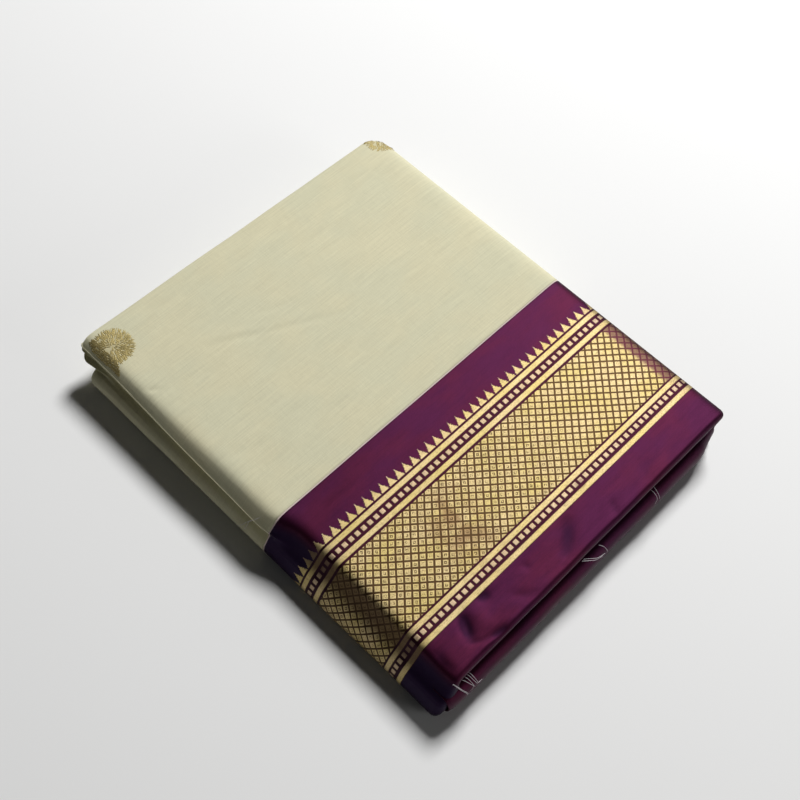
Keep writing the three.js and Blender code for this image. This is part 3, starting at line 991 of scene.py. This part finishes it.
def endTree(tree, out, socket, material):
    real = addNode(tree, "GeometryNodeRealizeInstances", {"Geometry": socket})
    cover = addNode(tree, "GeometryNodeSetMaterial", {"Geometry": real.outputs[0], "Material": material})
    feed(out.inputs[0], cover.outputs[0])


def runNodes(thing, tree, sizes):
    # gives the object the finished mesh, and takes the modifier off
    modifier = thing.modifiers.new("nodes", "NODES")
    modifier.node_group = tree
    for item in tree.interface.items_tree:
        if item.item_type == "SOCKET" and item.in_out == "INPUT" and item.name in sizes:
            modifier[item.identifier] = sizes[item.name]
    bpy.context.view_layer.update()
    finished = thing.evaluated_get(bpy.context.evaluated_depsgraph_get())
    mesh = bpy.data.meshes.new_from_object(finished)
    thing.modifiers.clear()
    thing.data = mesh
    mesh.shade_smooth()


# ---- the gold motifs: round paisleys of short stitches ----

# angles in degrees: 0 along the border, 90 towards the plain edge
motifRings = [
    {"radius": 2.2, "count": 14, "from": -150, "to": 150, "long": 3.2},
    {"radius": 4.8, "count": 36, "from": -150, "to": 150, "long": 4.2},
    {"radius": 7.4, "count": 70, "from": -135, "to": 140, "long": 4.2},
    {"radius": 9.4, "count": 86, "from": -122, "to": 100, "long": 3.4},
    {"radius": 11.0, "count": 104, "from": -124, "to": 138, "long": 3.6},
]
# the paisley's straight side, down to its tip: places from the middle, rows of stitches across it
motifTail = {
    "path": [(-6.4, 11.6), (-7.4, 6.0), (-7.6, 0.0), (-7.2, -6.0), (-7.4, -11.0), (-9.6, -15.6)],
    "wide": (2.6, 5.6, 5.0, 5.4, 4.6, 0.8),
    "rows": 40,
    "across": 7,
}
# share: how many of the stitches are there
motifs = [
    {"middle": (14.2, 275.0), "turn": 0, "seed": 3, "share": 1.0},
    {"middle": (240.5, 284.0), "turn": 185, "seed": 8, "share": 0.6},
]
stitchSizes = {"Width": 0.66, "Height": 0.3}  # mm


def clothPlace(u, v, lift):
    # the point on the body's cloth at u along and v across, with its normal and the cloth's two ways
    flat = bodyUv.reshape(-1, 2)
    at = int(np.argmin((flat[:, 0] - u) ** 2 + (flat[:, 1] - v) ** 2))
    row, column = divmod(at, bodyUv.shape[1])
    row, column = min(max(row, 1), bodyUv.shape[0] - 2), min(max(column, 1), bodyUv.shape[1] - 2)
    acrossStep = bodyPoints[row + 1, column] - bodyPoints[row - 1, column]
    alongStep = bodyPoints[row, column - 1] - bodyPoints[row, column + 1]
    acrossUv = bodyUv[row + 1, column] - bodyUv[row - 1, column]
    alongUv = bodyUv[row, column - 1] - bodyUv[row, column + 1]
    ways = np.linalg.solve(np.array([alongUv, acrossUv]), np.array([alongStep, acrossStep]))
    normal = np.cross(ways[0], ways[1])
    normal /= np.linalg.norm(normal)
    more = (u, v) - bodyUv[row, column]
    place = bodyPoints[row, column] + more[0] * ways[0] + more[1] * ways[1]
    return place + lift * normal, normal, ways


def stitchPlaces(motif):
    generator = np.random.default_rng(motif["seed"])
    turn = math.radians(motif["turn"])
    stitches = []  # along, across, angle, length
    for ring in motifRings:
        for k in range(ring["count"]):
            angle = math.radians(ring["from"] + (ring["to"] - ring["from"]) * (k + 0.5) / ring["count"])
            angle += generator.normal(0, 0.04)
            reach = ring["radius"] + generator.normal(0, 0.45)
            way = angle + generator.normal(0, 0.22)
            length = ring["long"] * generator.uniform(0.6, 1.15)
            stitches.append((reach * math.cos(angle), reach * math.sin(angle), way, length))
    path = throughPoints(motifTail["path"], 12)
    for k in range(motifTail["rows"]):
        share = k / (motifTail["rows"] - 1)
        middle = path[int(share * (len(path) - 1))]
        wide = np.interp(share, np.linspace(0, 1, len(motifTail["wide"])), motifTail["wide"])
        for side in np.linspace(-0.5, 0.5, motifTail["across"]):
            a = middle[0] + side * wide + generator.normal(0, 0.2)
            b = middle[1] + generator.normal(0, 0.3)
            way = math.radians(-52) + generator.normal(0, 0.35)
            stitches.append((a, b, way, 1.9 * generator.uniform(0.6, 1.2)))
    rows = []
    for a, b, angle, length in stitches:
        if generator.random() > motif["share"]:
            continue
        u = motif["middle"][0] + a * math.cos(turn) - b * math.sin(turn)
        v = motif["middle"][1] + a * math.sin(turn) + b * math.cos(turn)
        rows.append((u, v, angle + turn, length))
    return rows


def stitchTree():
    tree, given, out = newNodeTree("stitches", stitchSizes)

    def read(name, kind):
        node = addNode(tree, "GeometryNodeInputNamedAttribute", {"Name": name}, data_type=kind)
        return node.outputs["Attribute"]

    points = addNode(tree, "GeometryNodeMeshToPoints", {"Mesh": given.outputs["Geometry"]})
    stitch = addNode(tree, "GeometryNodeMeshUVSphere", {"Segments": 8, "Rings": 6, "Radius": 0.0005})
    way = {"Vector": read("stitchWay", "FLOAT_VECTOR")}
    along = addNode(tree, "FunctionNodeAlignRotationToVector", way, axis="X")
    normal = {"Rotation": along.outputs[0], "Vector": read("stitchNormal", "FLOAT_VECTOR")}
    upright = addNode(tree, "FunctionNodeAlignRotationToVector", normal, axis="Z", pivot_axis="X")
    scale = addNode(tree, "ShaderNodeCombineXYZ", {
        "X": read("stitchLength", "FLOAT"), "Y": given.outputs["Width"], "Z": given.outputs["Height"],
    })
    place = addNode(tree, "GeometryNodeInstanceOnPoints", {
        "Points": points.outputs[0], "Instance": stitch.outputs["Mesh"],
        "Rotation": upright.outputs[0], "Scale": scale.outputs[0],
    })
    endTree(tree, out, place.outputs[0], goldThread)
    return tree


def addVectorAttribute(mesh, name, values):
    attribute = mesh.attributes.new(name, "FLOAT_VECTOR", "POINT")
    attribute.data.foreach_set("vector", np.asarray(values, np.float32).ravel())


def addMotifs():
    tree = stitchTree()
    # the cloth takes a little of the gold between the stitches
    tint = np.zeros(bodyUv.shape[:2])
    for motif in motifs:
        away = np.hypot(bodyUv[..., 0] - motif["middle"][0], bodyUv[..., 1] - motif["middle"][1])
        tint = np.maximum(tint, smoothStep(away, 12.5, 9.5) * motif["share"])
    addFloatAttribute(bodyCloth.data, "motifTint", tint)
    for number, motif in enumerate(motifs):
        places, normals, ways, lengths = [], [], [], []
        for u, v, angle, length in stitchPlaces(motif):
            if v > bodyUv[-14, :, 1].max() or u < 2.5:
                continue
            place, normal, cloth = clothPlace(u, v, 0.02)
            places.append(place * mm)
            normals.append(normal)
            ways.append(cloth[0] * math.cos(angle) + cloth[1] * math.sin(angle))
            lengths.append(length)
        mesh = bpy.data.meshes.new("motif")
        mesh.from_pydata([tuple(p) for p in places], [], [])
        addVectorAttribute(mesh, "stitchNormal", normals)
        addVectorAttribute(mesh, "stitchWay", ways)
        addFloatAttribute(mesh, "stitchLength", lengths)
        thing = addObject(f"motif{number + 1}", mesh)
        runNodes(thing, tree, stitchSizes)
        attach(thing, "root")
        print("motif", number + 1, len(thing.data.polygons))


addMotifs()

# ---- loose threads ----

# places from the spine, from the border's edge and from the top, in millimetres
looseThreads = [
    [(11.2, 1.4, -3.2), (12.2, -0.9, -5.2), (14.0, -3.0, -9.6), (15.8, -4.5, -13.6), (17.3, -5.4, -18.0)],
    [(11.6, 1.3, -3.2), (12.7, -1.0, -5.2), (14.5, -3.1, -9.4), (16.3, -4.6, -13.4), (17.6, -5.5, -17.4)],
    [(11.4, 1.2, -3.0), (12.5, -1.2, -5.0), (14.2, -3.3, -9.5), (16.0, -4.7, -13.5), (17.1, -5.6, -17.6)],
    [(16.2, 0.6, -4.4), (17.6, -1.4, -5.2), (20.2, -5.2, -9.6), (21.8, -5.6, -13.4), (23.5, -4.8, -20.0)],
    [(20.4, 1.4, -4.6), (21.2, -1.2, -5.4), (22.4, -4.9, -9.2), (23.6, -5.6, -12.8), (25.4, -4.4, -20.0)],
    [(22.0, 1.2, -4.6), (22.6, -1.4, -5.4), (23.5, -5.0, -9.4), (24.6, -5.6, -13.6), (28.2, -5.2, -17.0)],
    [(18.5, 1.0, -4.6), (19.6, -1.6, -5.4), (20.6, -5.0, -9.4), (20.4, -5.6, -13.8), (19.4, -4.9, -18.6)],
    [(112.4, -0.6, -4.6), (115.6, -2.6, -5.6), (120.4, -4.9, -8.6), (126.4, -5.7, -10.8)],
    [(111.0, -0.8, -4.6), (114.4, -3.0, -5.8), (119.2, -5.1, -9.0), (125.0, -5.6, -12.0)],
    [(124.8, -1.0, -4.6), (126.6, -3.4, -5.8), (128.2, -5.2, -9.6), (129.4, -5.6, -13.4)],
    [(171.6, 0.2, -4.6), (172.0, -2.6, -5.6), (172.6, -5.2, -9.4), (172.0, -5.7, -14.4)],
    [(174.4, 0.2, -4.6), (174.0, -2.8, -5.8), (174.8, -5.3, -10.0), (175.6, -5.6, -13.2)],
    [(7.2, 136.0, -2.4), (4.0, 138.6, -5.4), (0.6, 141.4, -8.7), (-0.4, 144.2, -13.0), (-2.6, 147.0, -18.0),
     (-3.8, 150.2, -22.4)],
    [(0.6, 141.4, -8.7), (0.2, 143.2, -11.4), (-1.2, 143.6, -15.0), (-3.0, 144.6, -19.6)],
]
threadSizes = {"Thickness": 0.13}


def addLooseThreads():
    corner = (slab["spineX"], slab["borderY"], slab["height"])
    verts, edges = [], []
    for places in looseThreads:
        path = (throughPoints(places, 6) + corner) * mm
        start = len(verts)
        verts += path.tolist()
        edges += [(start + k, start + k + 1) for k in range(len(path) - 1)]
    mesh = bpy.data.meshes.new("looseThreads")
    mesh.from_pydata(verts, edges, [])
    thing = addObject("looseThreads", mesh)
    tree, given, out = newNodeTree("threads", threadSizes)
    curve = addNode(tree, "GeometryNodeMeshToCurve", {"Mesh": given.outputs["Geometry"]})
    radius = times(given.outputs["Thickness"], mm)
    ring = addNode(tree, "GeometryNodeCurvePrimitiveCircle", {"Resolution": 6, "Radius": radius})
    tube = addNode(tree, "GeometryNodeCurveToMesh", {
        "Curve": curve.outputs[0], "Profile Curve": ring.outputs[0], "Fill Caps": True,
    })
    endTree(tree, out, tube.outputs[0], whiteThread)
    runNodes(thing, tree, threadSizes)
    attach(thing, "root")
    print("loose threads", len(thing.data.polygons))


addLooseThreads()

# ---- floor and light ----

studio = {
    "floor": (0.78, 0.78, 0.775),
    "world": (0.026, 0.026, 0.025),
    "lights": {  # degrees round from +X, degrees up, degrees across, watts on each square metre, metres away
        "key": (18, 50, 17, 4.05, 2.3),
        "fill": (196, 5, 40, 0.08, 4.0),
        "side": (290, 13, 26, 0.6, 2.5),
    },
}


def addStudio(setup):
    mesh = bpy.data.meshes.new("floor")
    mesh.from_pydata([(-4, -4, 0), (4, -4, 0), (4, 4, 0), (-4, 4, 0)], [], [(0, 1, 2, 3)])
    floor = addObject("floor", mesh)
    material, _, shader = newMaterial("paleFloor")
    shader.inputs["Base Color"].default_value = (*setup["floor"], 1)
    shader.inputs["Roughness"].default_value = 0.9
    shader.inputs["Specular IOR Level"].default_value = 0.1
    mesh.materials.append(material)

    world = bpy.data.worlds.new("studio")
    bpy.context.scene.world = world
    world.use_nodes = True
    world.node_tree.nodes["Background"].inputs["Color"].default_value = (*setup["world"], 1)

    for name, (around, up, across, strength, distance) in setup["lights"].items():
        around, up = math.radians(around), math.radians(up)
        way = Vector((math.cos(up) * math.cos(around), math.cos(up) * math.sin(around), math.sin(up)))
        light = bpy.data.lights.new(name, "AREA")
        light.shape = "DISK"
        light.size = 2 * distance * math.tan(math.radians(across / 2))
        light.energy = strength * math.pi * distance**2
        lamp = bpy.data.objects.new(name, light)
        lamp.location = way * distance
        lamp.rotation_euler = way.to_track_quat("Z", "Y").to_euler()
        bpy.context.scene.collection.objects.link(lamp)
    bpy.context.scene.view_settings.view_transform = "Standard"


addStudio(studio)
print("studio ready")

bpy.context.view_layer.update()
